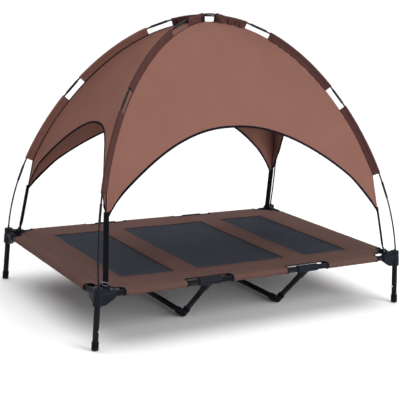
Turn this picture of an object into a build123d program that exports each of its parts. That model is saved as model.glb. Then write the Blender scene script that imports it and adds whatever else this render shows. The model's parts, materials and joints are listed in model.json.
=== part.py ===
"""A raised dog bed: tube frame, fabric bed with mesh panels, and a canopy on two crossed poles.

Millimetres, +Z up. The origin is on the floor under the middle of the bed. +X runs along the
front rail and the front long side faces -Y. Everything is worked out for the corner at +X +Y
and turned over to the other three.
"""

import os
from math import cos, pi, radians, sin, sqrt

import numpy as np
from build123d import *

# Frame: the four leg axes cross the bracket tops at these distances from the middle.
half_length = 590.0
half_width = 400.0
rail_height = 173.0
bracket_top = 195.0
bracket_bottom = 140.0
leg_splay = 12.5

# Tubes and their moulded sockets.
tube_outer = 19.0
tube_inner = 16.6
bore = tube_outer + 0.1
socket_outer = 30.0
arm_outer = 25.0
arm_length = 58.0
web_thickness = 15.0
cap_thickness = 9.0
rail_end = 12.5
web_top = 178.0
web_reach = 56.0
web_edge = 160.0
web_toe = 24.0

# The bracket's tongue, and the two ears of its fork.
tongue_width = 30.0
tongue_bottom = 177.0
tongue_top = 190.0
ear_top = 197.0
ear_thickness = 3.0
ear_offset = 13.5
ear_back = 10.0
ear_front = 5.0

# Feet and snap buttons.
foot_outer = 23.0
foot_height = 28.0
foot_floor = 6.0
button_height = 62.0
button_diameter = 6.0
button_stand_out = 2.0
leaf_size = (26.0, 7.0, 1.0)
leaf_depth = 3.5
button_headings = {"front_left": -56.0, "front_right": 180.0, "back_left": 180.0, "back_right": 0.0}

# Rail connectors and centre supports.
connector_x = 195.0
connector_length = 84.0
lug_length = 50.0
lug_outer = 25.0
elbow_height = 12.5
elbow_outer = 25.0
elbow_arm = 34.0
elbow_bar = 42.0
tube_start = 16.0

# Bed sheet: sleeves round the rails, cut-outs and mesh windows.
sheet_thickness = 1.6
sleeve_inner = 19.8
sleeve_outer = 23.0
corner_cut = 88.0
half_notch = ((88.0, -20.0), (88.0, 12.0), (80.0, 20.0), (62.0, 22.0))
connector_cut = 85.0
connector_cut_depth = 16.0
mesh_half_width = 285.0
mesh_windows = ((-455.0, -265.0), (-175.0, 175.0), (265.0, 455.0))
mesh_hem = 8.0
mesh_thickness = 1.2

# Canopy poles. A half pole rises from a bracket top to the crossing as phi goes from 0 to pi/2.
pole_diameter = 5.6
pole_rise = 812.0
pole_crossing_gap = 6.0
pole_run_power = 1.03
pole_rise_power = 1.06
pole_bow = 76.0
pole_bow_power = 1.25
pole_joints = (181.0, 563.0, 945.0)
ferrule_outer = 8.2
ferrule_bore = 5.7
ferrule_length = 60.0
rod_inset = 20.0
tip_diameter = 6.4
tip_depth = 30.0
tip_stand = 12.0
collar_diameter = 9.0
collar_height = 4.0
collar_gap = 0.05

# Canopy fabric: the seams lie inside the poles, and a fin of fabric joins each seam to its pole.
seam_inset = 24.0
panel_thickness = 2.0
panel_gap = 3.0
panel_top_angle = 88.3
doorway_top = 640.0
doorway_powers = (2.3, 0.85)
tip_heights = {"front_left": 390.0, "front_right": 328.0, "back_left": 347.0, "back_right": 346.0}
long_sag = 50.0
short_sag = 40.0
fin_thickness = 1.6
fin_starts = {"a": 50.0, "b": 22.0}
fin_stops = (135.0, 228.0, 520.0, 608.0, 882.0)
crown_radius = 14.0

# Straps and buckles.
strap_width = 20.0
strap_thickness = 1.6
anchor_inset = 40.0
anchor_height = 193.0
bar_diameter = 3.0
bar_spacing = 10.0
lower_bar_reach = 15.0
upper_bar_reach = 11.5
side_wire = 2.4
side_wire_offset = 9.5

corners = {"front_left": (-1, -1), "front_right": (1, -1), "back_left": (-1, 1), "back_right": (1, 1)}
diagonal = np.array([half_length, half_width]) / sqrt(half_length**2 + half_width**2)


def save(shape, name):
    """Writes one sub-part as a compound of its solids."""
    solids = shape.solids()
    export_step(Compound(children=list(solids)) if len(solids) > 1 else solids[0], f"parts/{name}.step")


def rod(start, end, diameter):
    """A round bar from one point to another."""
    line = Vector(*end) - Vector(*start)
    round_bar = Cylinder(diameter / 2, line.length, align=(Align.CENTER, Align.CENTER, Align.MIN))
    return Plane(origin=Vector(*start), z_dir=line) * round_bar


def tube(start, end, outer=tube_outer, inner=tube_inner):
    """A round tube from one point to another."""
    return rod(start, end, outer) - rod(start, end, inner)


def place(shape, sx, sy):
    """Turns a shape made for the +X +Y corner over to the corner with these signs."""
    if sx < 0:
        shape = mirror(shape, about=Plane.YZ)
    if sy < 0:
        shape = mirror(shape, about=Plane.XZ)
    return shape


def leg_point(height, sx=1, sy=1):
    """The point of a leg's axis at this height. The legs splay outwards along the diagonals."""
    out = leg_splay * (bracket_top - height) / bracket_top * diagonal
    return np.array([sx * (half_length + out[0]), sy * (half_width + out[1]), height])


def inboard(distance, sideways, height):
    """A point this far from the +X +Y leg axis towards the middle, and sideways from the diagonal."""
    x = half_length - distance * diagonal[0] - sideways * diagonal[1]
    y = half_width - distance * diagonal[1] + sideways * diagonal[0]
    return (x, y, height)


def diagonal_block(near, far, width, bottom, top, sideways=0.0):
    """A block that lies along the diagonal of the +X +Y corner."""
    middle = inboard((near + far) / 2, sideways, (bottom + top) / 2)
    along = Plane(origin=middle, x_dir=(-diagonal[0], -diagonal[1], 0), z_dir=(0, 0, 1))
    return along * Box(far - near, width, top - bottom)


def web(toward):
    """A triangular web under one arm of the bracket, toward "x" or "y"."""
    high = ((0, web_top), (web_reach, web_top), (web_reach, web_edge))
    outline = high + ((web_toe, bracket_bottom), (0, bracket_bottom))
    if toward == "x":
        points = [(half_length - r, half_width, z) for r, z in outline]
        normal = Vector(0, 1, 0)
    else:
        points = [(half_length, half_width - r, z) for r, z in outline]
        normal = Vector(1, 0, 0)
    face = Face(Wire.make_polygon(points, close=True))
    return extrude(face, web_thickness / 2, dir=normal) + extrude(face, web_thickness / 2, dir=-normal)


def corner_bracket():
    """Three sockets, two webs, and a forked tongue that holds the strap's buckle."""
    top_of_bore = bracket_top - cap_thickness
    axis = (half_length, half_width, rail_height)
    body = rod(leg_point(bracket_bottom), leg_point(rail_height), socket_outer)
    body += rod(axis, (half_length, half_width, bracket_top), socket_outer)
    body += rod(axis, (half_length - arm_length, half_width, rail_height), arm_outer)
    body += rod(axis, (half_length, half_width - arm_length, rail_height), arm_outer)
    body += web("x") + web("y")
    body += diagonal_block(0, anchor_inset - 4, tongue_width, tongue_bottom, tongue_top)
    near, far = anchor_inset - ear_back, anchor_inset + ear_front
    for side in (-1, 1):
        body += diagonal_block(near, far, ear_thickness, tongue_bottom, ear_top, side * ear_offset)
    body -= rod(leg_point(bracket_bottom - 10), leg_point(top_of_bore), bore)
    body -= rod((half_length - rail_end, half_width, rail_height), (0, half_width, rail_height), bore)
    body -= rod((half_length, half_width - rail_end, rail_height), (half_length, 0, rail_height), bore)
    body -= rod((half_length, half_width, 160), (half_length, half_width, 210), tip_diameter + 0.1)
    ends = [inboard(anchor_inset, side * 20, anchor_height) for side in (-1, 1)]
    return body - rod(ends[0], ends[1], bar_diameter + 0.1)


def strap_buckle():
    """Two steel bars joined by side wires. The lower one turns in the bracket's fork."""
    upper = anchor_height + bar_spacing
    low = [inboard(anchor_inset, side * lower_bar_reach, anchor_height) for side in (-1, 1)]
    body = rod(low[0], low[1], bar_diameter)
    high = [inboard(anchor_inset, side * upper_bar_reach, upper) for side in (-1, 1)]
    body += rod(high[0], high[1], bar_diameter)
    for side in (-1, 1):
        ends = [inboard(anchor_inset, side * side_wire_offset, z) for z in (anchor_height, upper)]
        body += rod(ends[0], ends[1], side_wire)
    return body


def leg_plane(height):
    """A plane square to the leg of the +X +Y corner, at this height."""
    up = Vector(*(leg_point(bracket_top) - leg_point(0)))
    return Plane(origin=Vector(*leg_point(height)), z_dir=up)


def foot_cap():
    """A rubber cup over the leg's end, with its rounded sole cut flat on the floor."""
    block = Cylinder(foot_outer / 2, foot_height + 1, align=(Align.CENTER, Align.CENTER, Align.MIN))
    block = fillet(block.edges().sort_by(Axis.Z)[0], 4)
    block = leg_plane(-1) * block
    block -= rod(leg_point(foot_floor), leg_point(60), tube_outer + 0.05)
    below = Pos(half_length, half_width, -10) * Box(80, 80, 20)
    return block - below


def button_direction(name):
    """The way a snap button faces: its heading, made square to the leg's axis."""
    sx, sy = corners[name]
    up = leg_point(bracket_top, sx, sy) - leg_point(0, sx, sy)
    up = up / np.linalg.norm(up)
    heading = radians(button_headings[name])
    flat = np.array([cos(heading), sin(heading), 0.0])
    out = flat - np.dot(flat, up) * up
    return out / np.linalg.norm(out), up


def snap_button(name):
    """A round button riveted to its leaf spring, which lies inside the leg."""
    sx, sy = corners[name]
    out, up = button_direction(name)
    centre = leg_point(button_height, sx, sy)
    tip = centre + out * (tube_outer / 2 + button_stand_out)
    root = centre + out * leaf_depth
    pin = rod(root, tip, button_diameter)
    leaf = Plane(origin=Vector(*root), x_dir=Vector(*up), z_dir=Vector(*out))
    return pin + leaf * Box(*leaf_size)


def leg_tube(name):
    """The leg, with the hole that its snap button stands in."""
    sx, sy = corners[name]
    out, _ = button_direction(name)
    centre = leg_point(button_height, sx, sy)
    body = tube(leg_point(foot_floor, sx, sy), leg_point(bracket_top - cap_thickness, sx, sy))
    return body - rod(centre, centre + out * 20, button_diameter + 0.1)


def rail_connector():
    """A sleeve over the joint of two rail tubes, with a slanted lug for the support's arm."""
    start = (connector_x - connector_length / 2, half_width, rail_height)
    end = (connector_x + connector_length / 2, half_width, rail_height)
    slope = np.array([0.0, -1.0, -1.0]) / sqrt(2)
    axis = np.array([connector_x, half_width, rail_height])
    body = rod(start, end, arm_outer) + rod(axis, axis + slope * lug_length, lug_outer)
    body -= rod(axis + slope * tube_start, axis + slope * 80, bore)
    return body - rod(start, end, bore)


def support_pieces():
    """One slanted arm and its elbow, at +X +Y. The arm meets the rail's axis at 45 degrees."""
    drop = rail_height - elbow_height
    rail = np.array([connector_x, half_width, rail_height])
    corner = np.array([connector_x, half_width - drop, elbow_height])
    up = (rail - corner) / np.linalg.norm(rail - corner)
    level = np.array([0.0, -1.0, 0.0])
    arm = tube(rail - up * (tube_start + 0.5), corner + up * (tube_start + 0.5))
    elbow = rod(corner, corner + up * elbow_arm, elbow_outer)
    elbow += rod(corner, corner + level * elbow_bar, elbow_outer)
    elbow += Pos(*corner) * Sphere(elbow_outer / 2)
    elbow -= rod(corner + up * tube_start, corner + up * 60, bore)
    elbow -= rod(corner + level * tube_start, corner + level * 80, bore)
    return arm, elbow


def floor_bar(x):
    """The tube that joins two elbows just above the floor."""
    reach = half_width - (rail_height - elbow_height) - tube_start - 0.5
    return tube((x, -reach, elbow_height), (x, reach, elbow_height))


def rail_tubes():
    """The rails: one tube on each short side, and three in line on each long side."""
    end_x = half_length - rail_end - 0.5
    end_y = half_width - rail_end - 0.5
    cuts = (-end_x, -connector_x - 0.5, -connector_x + 0.5, connector_x - 0.5, connector_x + 0.5, end_x)
    stretches = {"left": cuts[0:2], "middle": cuts[2:4], "right": cuts[4:6]}
    for side, y in (("front", -half_width), ("back", half_width)):
        for part, (x0, x1) in stretches.items():
            save(tube((x0, y, rail_height), (x1, y, rail_height)), f"{side}_rail_{part}")
    for side, x in (("left", -half_length), ("right", half_length)):
        save(tube((x, -end_y, rail_height), (x, end_y, rail_height)), f"{side}_rail")


def bed_sheet():
    """The sheet: a flat cloth, sleeves round the rails, cut-outs and mesh windows."""
    top = rail_height + sleeve_outer / 2
    body = Pos(0, 0, top - sheet_thickness / 2) * Box(2 * half_length, 2 * half_width, sheet_thickness)
    long_end = half_length - corner_cut
    short_end = half_width - corner_cut
    outer_end = connector_x + connector_cut
    inner_end = connector_x - connector_cut
    bores = []
    for y in (-half_width, half_width):
        for x0, x1 in ((-long_end, -outer_end), (-inner_end, inner_end), (outer_end, long_end)):
            body += rod((x0, y, rail_height), (x1, y, rail_height), sleeve_outer)
        bores.append(rod((-half_length, y, rail_height), (half_length, y, rail_height), sleeve_inner))
    for x in (-half_length, half_length):
        body += rod((x, -short_end, rail_height), (x, short_end, rail_height), sleeve_outer)
        bores.append(rod((x, -half_width, rail_height), (x, half_width, rail_height), sleeve_inner))
    for hole in bores:
        body -= hole
    # The cloth hugs the bracket's arms and runs across its tongue.
    notch = ((-20, -20), *half_notch, *[(v, u) for u, v in reversed(half_notch)])
    points = [(half_length - u, half_width - v, top - 25) for u, v in notch]
    cutter = extrude(Face(Wire.make_polygon(points, close=True)), 50, dir=Vector(0, 0, 1))
    for sx, sy in corners.values():
        body -= place(cutter, sx, sy)
        depth = connector_cut_depth + sleeve_outer
        block = Box(2 * connector_cut, 2 * depth, 60)
        body -= Pos(sx * connector_x, sy * (half_width - connector_cut_depth + depth), rail_height) * block
    for x0, x1 in mesh_windows:
        body -= Pos((x0 + x1) / 2, 0, top) * Box(x1 - x0, 2 * mesh_half_width, 20)
    return body


def mesh_panels():
    """Mesh sewn under the sheet's windows, with a hem all round."""
    top = rail_height + sleeve_outer / 2 - sheet_thickness - 0.1
    size_y = 2 * (mesh_half_width + mesh_hem)
    plates = []
    for x0, x1 in mesh_windows:
        plate = Box(x1 - x0 + 2 * mesh_hem, size_y, mesh_thickness)
        plates.append(Pos((x0 + x1) / 2, 0, top - mesh_thickness / 2) * plate)
    return Compound(children=[p.solids()[0] for p in plates])


def half_pole(phi, sx, sy, rise=pole_rise):
    """Points of a half pole. Tension in the fabric bows it in towards the long axis."""
    phi = np.asarray(phi, dtype=float)
    run = np.cos(phi).clip(0) ** pole_run_power
    bow = pole_bow * np.sin(2 * phi).clip(0) ** pole_bow_power
    x = sx * half_length * run
    y = sy * (half_width * run - bow)
    z = bracket_top + rise * np.sin(phi).clip(0) ** pole_rise_power
    return np.stack([x, y, z], axis=-1)


def outward(phi, sx, sy):
    """Unit vectors square to a half pole, pointing out of the dome."""
    step = 1e-3
    phi = np.asarray(phi, dtype=float)
    ahead = half_pole(np.minimum(phi + step, pi / 2), sx, sy)
    behind = half_pole(np.maximum(phi - step, 0), sx, sy)
    tangent = ahead - behind
    tangent /= np.linalg.norm(tangent, axis=-1, keepdims=True)
    away = half_pole(phi, sx, sy) - np.array([0, 0, bracket_top + 200])
    away -= (away * tangent).sum(-1, keepdims=True) * tangent
    return away / np.linalg.norm(away, axis=-1, keepdims=True)


angles = np.linspace(0, pi / 2, 4001)
steps = np.linalg.norm(np.diff(half_pole(angles, 1, 1), axis=0), axis=1)
from_crossing = np.concatenate([[0], np.cumsum(steps[::-1])])[::-1]


def strap_foot(sx, sy):
    """The point behind the buckle that a strap runs down to."""
    x, y, z = inboard(anchor_inset + bar_diameter / 2 + 0.4 + strap_thickness / 2, 0, anchor_height)
    return np.array([sx * x, sy * y, z])


def seam(phi, sx, sy):
    """Points of the seam under a half pole. Below the sleeve it runs straight to the strap's foot."""
    phi = np.asarray(phi, dtype=float)
    last = angle_at(fin_stops[-1])
    beside = half_pole(phi, sx, sy) - seam_inset * outward(phi, sx, sy)
    start = half_pole(last, sx, sy) - seam_inset * outward(last, sx, sy)
    ahead = half_pole(last + 0.01, sx, sy) - seam_inset * outward(last + 0.01, sx, sy)
    fall = (ahead[2] - start[2]) / 0.01 * (last - phi)
    foot = strap_foot(sx, sy)
    straight = start + (fall / (start[2] - foot[2]))[..., None] * (foot - start)
    return np.where((phi < last)[..., None], straight, beside)


def angle_at(distance):
    """The angle on a half pole at this length along it from the crossing."""
    return float(np.interp(distance, from_crossing[::-1], angles[::-1]))


seam_heights = seam(angles, 1, 1)[:, 2]


def angle_of_seam(height):
    """The angle at which the seams reach this height."""
    return np.interp(height, seam_heights, angles)


def swept_rod(points):
    """A thin rod along the arc through three points."""
    path = Edge.make_three_point_arc(*[Vector(*p) for p in points])
    section = Plane(origin=path @ 0, z_dir=path % 0) * Circle(pole_diameter / 2)
    return sweep(section, path=path)


def canopy_pole(corner, lift):
    """The rods of one pole, which end a little way inside the ferrules."""
    rise = pole_rise + lift
    rods = []
    for sign in (1, -1):
        sx, sy = sign * corner[0], sign * corner[1]
        for inner, outer in zip(pole_joints[:-1], pole_joints[1:]):
            spots = (inner + rod_inset, (inner + outer) / 2, outer - rod_inset)
            rods.append(swept_rod([half_pole(angle_at(s), sx, sy, rise) for s in spots]))
        last = half_pole(angle_at(pole_joints[-1] + rod_inset), sx, sy, rise)
        foot = np.array([sx * half_length, sy * half_width, bracket_top + tip_stand])
        middle_angle = (angle_at(pole_joints[-1] + rod_inset) + angle_of_pole(foot[2])) / 2
        rods.append(swept_rod([last, half_pole(middle_angle, sx, sy, rise), foot]))
    reach = angle_at(pole_joints[0] - rod_inset)
    ends = [half_pole(reach, s * corner[0], s * corner[1], rise) for s in (-1, 1)]
    crossing = np.array([0, 0, bracket_top + rise])
    rods.append(swept_rod([ends[0], crossing, ends[1]]))
    return Compound(children=[r.solids()[0] for r in rods])


def angle_of_pole(height):
    """The angle at which a half pole reaches this height."""
    return float(np.interp(height, half_pole(angles, 1, 1)[:, 2], angles))


def pole_ferrules():
    """Straight metal sleeves over the joints of both poles."""
    sleeves = []
    for (sx, sy), lift in pole_halves():
        for joint in pole_joints:
            reach = ferrule_length / 2
            ends = [half_pole(angle_at(joint + d), sx, sy, pole_rise + lift) for d in (-reach, reach)]
            sleeves.append(tube(ends[0], ends[1], ferrule_outer, ferrule_bore).solids()[0])
    return Compound(children=sleeves)


def pole_halves():
    """The four half poles: each corner, and how far its pole passes above or below the other."""
    lift = pole_crossing_gap / 2
    return [((sx, sy), lift if sx == sy else -lift) for sx, sy in corners.values()]


def pole_tips():
    """Steel end tips in the bracket tops, each with a collar that stops it there."""
    pins = []
    for sx, sy in corners.values():
        x, y = sx * half_length, sy * half_width
        low = bracket_top + collar_gap
        pin = rod((x, y, bracket_top - tip_depth), (x, y, bracket_top + tip_stand), tip_diameter)
        pin += rod((x, y, low), (x, y, low + collar_height), collar_diameter)
        pins.append(pin.solids()[0])
    return Compound(children=pins)


def thick_surface(points, thickness, facing):
    """A closed sheet of even thickness on a grid of points, thickened towards facing."""
    grid = [[tuple(p) for p in row] for row in points]
    face = Face.make_surface_from_array_of_points(grid, tol=0.3)
    return Solid.thicken(face, thickness, normal_override=facing)


def canopy_panel(start, end, inward, sag):
    """A panel between two seams, hollowed by its tension, with an arched doorway below."""
    u = np.linspace(-1, 1, 25)
    across = np.sin(u * pi / 2)
    power, root = doorway_powers
    tips = (tip_heights[start] + tip_heights[end]) / 2 + across * (tip_heights[end] - tip_heights[start]) / 2
    rise = doorway_top - tips
    edge = angle_of_seam(tips + rise * (1 - np.abs(across) ** power).clip(0) ** root)
    top = radians(panel_top_angle)
    down = np.linspace(0, 1, 16)[:, None]
    phi = edge[None, :] + down * (top - edge[None, :])
    first = seam(phi, *corners[start])
    last = seam(phi, *corners[end])
    line = last - first
    width = np.linalg.norm(line, axis=-1, keepdims=True)
    share = (across[None, :, None] + 1) / 2
    points = first + line / width * (panel_gap + share * (width - 2 * panel_gap))
    hollow = sag * (1 - across[None, :] ** 2) * np.sin(2 * phi).clip(0)
    points = points + hollow[..., None] * np.array([inward[0], inward[1], 0.0])
    return thick_surface(points, panel_thickness, (-inward[0], -inward[1], 0.6))


def pole_sleeve(name):
    """The fin of fabric between a seam and its pole, in three stretches with windows between."""
    sx, sy = corners[name]
    pieces = []
    ends = (fin_starts["a" if sx == sy else "b"], *fin_stops)
    for start, end in zip(ends[0::2], ends[1::2]):
        phi = np.linspace(angle_at(start), angle_at(end), 9)
        out = outward(phi, sx, sy)
        low = half_pole(phi, sx, sy) - (seam_inset - 0.4) * out
        high = half_pole(phi, sx, sy) - (pole_diameter / 2 + pole_crossing_gap / 2 + 2.0) * out
        rows = np.stack([low + (high - low) * s for s in np.linspace(0, 1, 3)])
        pieces.append(thick_surface(rows, fin_thickness, (-sy, sx, 0)))
    return Compound(children=pieces)


def crown_patch():
    """A small round patch where the four panels meet."""
    height = bracket_top + pole_rise - seam_inset + panel_thickness + 0.8
    return Pos(0, 0, height) * Cylinder(crown_radius, panel_thickness)


def corner_strap(name):
    """A webbing strap from the canopy's corner to behind the buckle's bars."""
    sx, sy = corners[name]
    corner = seam(angle_of_seam(tip_heights[name]), sx, sy)
    foot = strap_foot(sx, sy)
    line = corner - foot
    line = line / np.linalg.norm(line)
    top = corner - 6 * line
    across = Vector(-sy * diagonal[1], sx * diagonal[0], 0)
    length = float(np.linalg.norm(top - foot))
    plane = Plane(origin=Vector(*((top + foot) / 2)), x_dir=across, z_dir=Vector(*line))
    return plane * Box(strap_width, strap_thickness, length)


def group(maker):
    """One compound of the same piece at all four corners."""
    return Compound(children=[maker(name).solids()[0] for name in corners])


def write_frame():
    """Brackets, rails, connectors and centre supports."""
    bracket = corner_bracket()
    connector = rail_connector()
    arm, elbow = support_pieces()
    for name, (sx, sy) in corners.items():
        save(place(bracket, sx, sy), f"corner_bracket_{name}")
        save(place(connector, sx, sy), f"rail_connector_{name}")
        save(place(arm, sx, sy), f"support_arm_{name}")
        save(place(elbow, sx, sy), f"support_elbow_{name}")
    save(floor_bar(-connector_x), "floor_bar_left")
    save(floor_bar(connector_x), "floor_bar_right")
    rail_tubes()


def write_legs():
    """Legs with their feet and snap buttons."""
    foot = foot_cap()
    for name, (sx, sy) in corners.items():
        save(leg_tube(name), f"leg_tube_{name}")
        save(place(foot, sx, sy), f"foot_cap_{name}")
        save(snap_button(name), f"snap_button_{name}")


def write_canopy():
    """Poles, fabric and straps."""
    lift = pole_crossing_gap / 2
    save(canopy_pole((1, 1), lift), "canopy_pole_a")
    save(canopy_pole((-1, 1), -lift), "canopy_pole_b")
    save(pole_ferrules(), "pole_ferrules")
    save(pole_tips(), "pole_tips")
    save(canopy_panel("front_left", "front_right", (0, 1), long_sag), "canopy_front")
    save(canopy_panel("back_right", "back_left", (0, -1), long_sag), "canopy_back")
    save(canopy_panel("back_left", "front_left", (1, 0), short_sag), "canopy_left")
    save(canopy_panel("front_right", "back_right", (-1, 0), short_sag), "canopy_right")
    for name in corners:
        save(pole_sleeve(name), f"pole_sleeve_{name}")
        save(corner_strap(name), f"corner_strap_{name}")
    save(crown_patch(), "crown_patch")


os.makedirs("parts", exist_ok=True)
write_frame()
write_legs()
save(bed_sheet(), "bed_sheet")
save(mesh_panels(), "mesh_panels")
save(group(lambda name: place(strap_buckle(), *corners[name])), "strap_buckles")
write_canopy()
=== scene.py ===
"""A raised dog bed with a canopy: the looks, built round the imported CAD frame.

The file follows the bed as it is put together: steel tubes, moulded brackets, feet, the bed's
cloth, the poles, the canopy, its straps, and last the floor and the lights. Metres throughout.
"""

import json
from math import acos, atan2, cos, hypot, pi, radians, sin

import bmesh
import bpy
import numpy as np
from mathutils import Matrix

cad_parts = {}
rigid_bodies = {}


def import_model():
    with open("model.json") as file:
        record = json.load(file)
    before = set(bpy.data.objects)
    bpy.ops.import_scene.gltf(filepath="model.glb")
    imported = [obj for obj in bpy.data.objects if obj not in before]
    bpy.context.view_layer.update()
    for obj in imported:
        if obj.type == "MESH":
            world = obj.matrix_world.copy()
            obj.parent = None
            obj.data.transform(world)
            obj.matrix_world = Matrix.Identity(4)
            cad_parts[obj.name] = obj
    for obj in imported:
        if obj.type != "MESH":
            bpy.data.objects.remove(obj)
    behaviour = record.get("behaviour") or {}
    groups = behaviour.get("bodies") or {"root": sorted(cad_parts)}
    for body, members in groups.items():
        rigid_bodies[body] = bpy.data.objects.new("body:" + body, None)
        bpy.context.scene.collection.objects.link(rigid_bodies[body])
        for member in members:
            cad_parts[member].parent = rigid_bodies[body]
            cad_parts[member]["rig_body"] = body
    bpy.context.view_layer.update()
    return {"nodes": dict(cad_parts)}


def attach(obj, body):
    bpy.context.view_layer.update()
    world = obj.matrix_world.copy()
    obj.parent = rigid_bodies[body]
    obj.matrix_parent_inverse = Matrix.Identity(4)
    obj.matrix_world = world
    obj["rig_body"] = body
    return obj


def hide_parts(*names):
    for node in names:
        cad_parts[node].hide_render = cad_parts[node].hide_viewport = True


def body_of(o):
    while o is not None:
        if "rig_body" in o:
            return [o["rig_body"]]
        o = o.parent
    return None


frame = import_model()
nodes = frame["nodes"]

# ---------------------------------------------------------------------------------------------
# Camera. It stands to the left of the bed's front, a little above the canopy's middle, and
# leans over slightly.
turned, raised, leaned = radians(-30.870), radians(12.244), radians(2.5105)
back = np.array([sin(turned) * cos(raised), -cos(turned) * cos(raised), sin(raised)])
level_right = np.cross(-back, [0, 0, 1])
level_right /= np.linalg.norm(level_right)
level_up = np.cross(level_right, -back)
camera_right = cos(leaned) * level_right + sin(leaned) * level_up
camera_up = cos(leaned) * level_up - sin(leaned) * level_right
camera = bpy.data.objects.new("camera", bpy.data.cameras.new("camera"))
camera.data.sensor_width = 36.0
camera.data.lens = 87.309
camera.data.clip_start, camera.data.clip_end = 0.1, 2000.0
pose = np.eye(4)
pose[:3, :3] = np.stack([camera_right, camera_up, back], axis=1)
pose[:3, 3] = (-1.77846, -2.96536, 1.09287)
camera.matrix_world = Matrix(pose.tolist())
bpy.context.scene.collection.objects.link(camera)
bpy.context.scene.camera = camera

# ---------------------------------------------------------------------------------------------
# Steel tubes: rails, legs, the arms and floor bars of the centre supports. Round tube, 19 mm
# across, with a black powder coat that is slightly pebbled and a little duller where handled.


class Value:
    """One socket in a finish. Sums written on it in Python add their Math nodes."""

    def __init__(self, finish, made, socket):
        self.finish, self.made, self.socket = finish, made, socket

    def out(self, name):
        found = next(s for s in self.made.outputs if name in (s.identifier, s.name))
        return Value(self.finish, self.made, found)

    def sum(self, operation, *values):
        return self.finish.node("ShaderNodeMath", {"operation": operation}, *values)

    def __add__(self, other):
        return self.sum("ADD", self, other)

    def __sub__(self, other):
        return self.sum("SUBTRACT", self, other)

    def __rsub__(self, other):
        return self.sum("SUBTRACT", other, self)

    def __mul__(self, other):
        return self.sum("MULTIPLY", self, other)

    def __lt__(self, other):
        return self.sum("LESS_THAN", self, other)

    def __gt__(self, other):
        return self.sum("GREATER_THAN", self, other)

    def __abs__(self):
        return self.sum("ABSOLUTE", self)

    def sine(self):
        return self.sum("SINE", self)

    def smaller(self, other):
        return self.sum("MINIMUM", self, other)

    def larger(self, other):
        return self.sum("MAXIMUM", self, other)

    __radd__ = __add__
    __rmul__ = __mul__


class Finish:
    """A material made of nodes. Numbers given by name go on the shader's own sockets."""

    def __init__(self, name, **constants):
        self.material = bpy.data.materials.new(name)
        self.material.use_nodes = True
        self.tree = self.material.node_tree
        self.shader = self.tree.nodes["Principled BSDF"]
        for key, value in constants.items():
            self.shader.inputs[key.replace("_", " ")].default_value = value

    def node(self, kind, settings=None, *ordered, **named):
        """Adds a node: its settings first, then the values or links of its sockets."""
        made = self.tree.nodes.new(kind)
        for key, value in (settings or {}).items():
            setattr(made, key, value)
        for socket, value in zip(made.inputs, ordered):
            self.put(socket, value)
        for key, value in named.items():
            self.put(next(s for s in made.inputs if key in (s.identifier, s.name)), value)
        return Value(self, made, made.outputs[0])

    def put(self, socket, value):
        if isinstance(value, Value):
            self.tree.links.new(value.socket, socket)
        else:
            socket.default_value = value

    def place(self):
        """Object coordinates, which are the bed's own, in metres."""
        return self.node("ShaderNodeTexCoord").out("Object")

    def cloth_place(self):
        """Lengths along and across the cloth, in metres."""
        split = self.node("ShaderNodeSeparateXYZ", {}, self.node("ShaderNodeTexCoord").out("UV"))
        return split.out("X"), split.out("Y")

    def noise(self, where, scale, detail=2.0):
        return self.node("ShaderNodeTexNoise", {}, Vector=where, Scale=scale, Detail=detail)

    def colour(self, share, first, second):
        """A colour between two, by share."""
        mixed = self.node(
            "ShaderNodeMix", {"data_type": "RGBA"}, Factor_Float=share, A_Color=first, B_Color=second
        )
        return mixed.out("Result_Color")

    def wear(self, base, roughness=None, height=None, depth=0.0002, strength=0.5):
        """Feeds what varies over the surface to the shader."""
        self.put(self.shader.inputs["Base Color"], base)
        if roughness is not None:
            self.put(self.shader.inputs["Roughness"], roughness)
        if height is not None:
            bump = self.node("ShaderNodeBump", {}, Strength=strength, Distance=depth, Height=height)
            self.put(self.shader.inputs["Normal"], bump)
        return self.material


def powder_coat():
    """Black powder coat: fine pebbles, and dull patches where hands and dust have been."""
    coat = Finish("black_powder_coat", Specular_IOR_Level=0.08)
    where = coat.place()
    dull = coat.noise(where, 14.0, 3.0)
    base = coat.colour(dull, (0.003, 0.003, 0.005, 1), (0.010, 0.010, 0.014, 1))
    return coat.wear(base, 0.24 + 0.16 * dull, coat.noise(where, 900.0), 0.0001, 0.35)


def dress(piece, material, body=None, stands_for=()):
    """Gives a piece its material, its body, and the CAD nodes it stands for."""
    piece.data.materials.clear()
    piece.data.materials.append(material)
    if body:
        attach(piece, body)
    if stands_for:
        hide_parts(*stands_for)
    return piece


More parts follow.
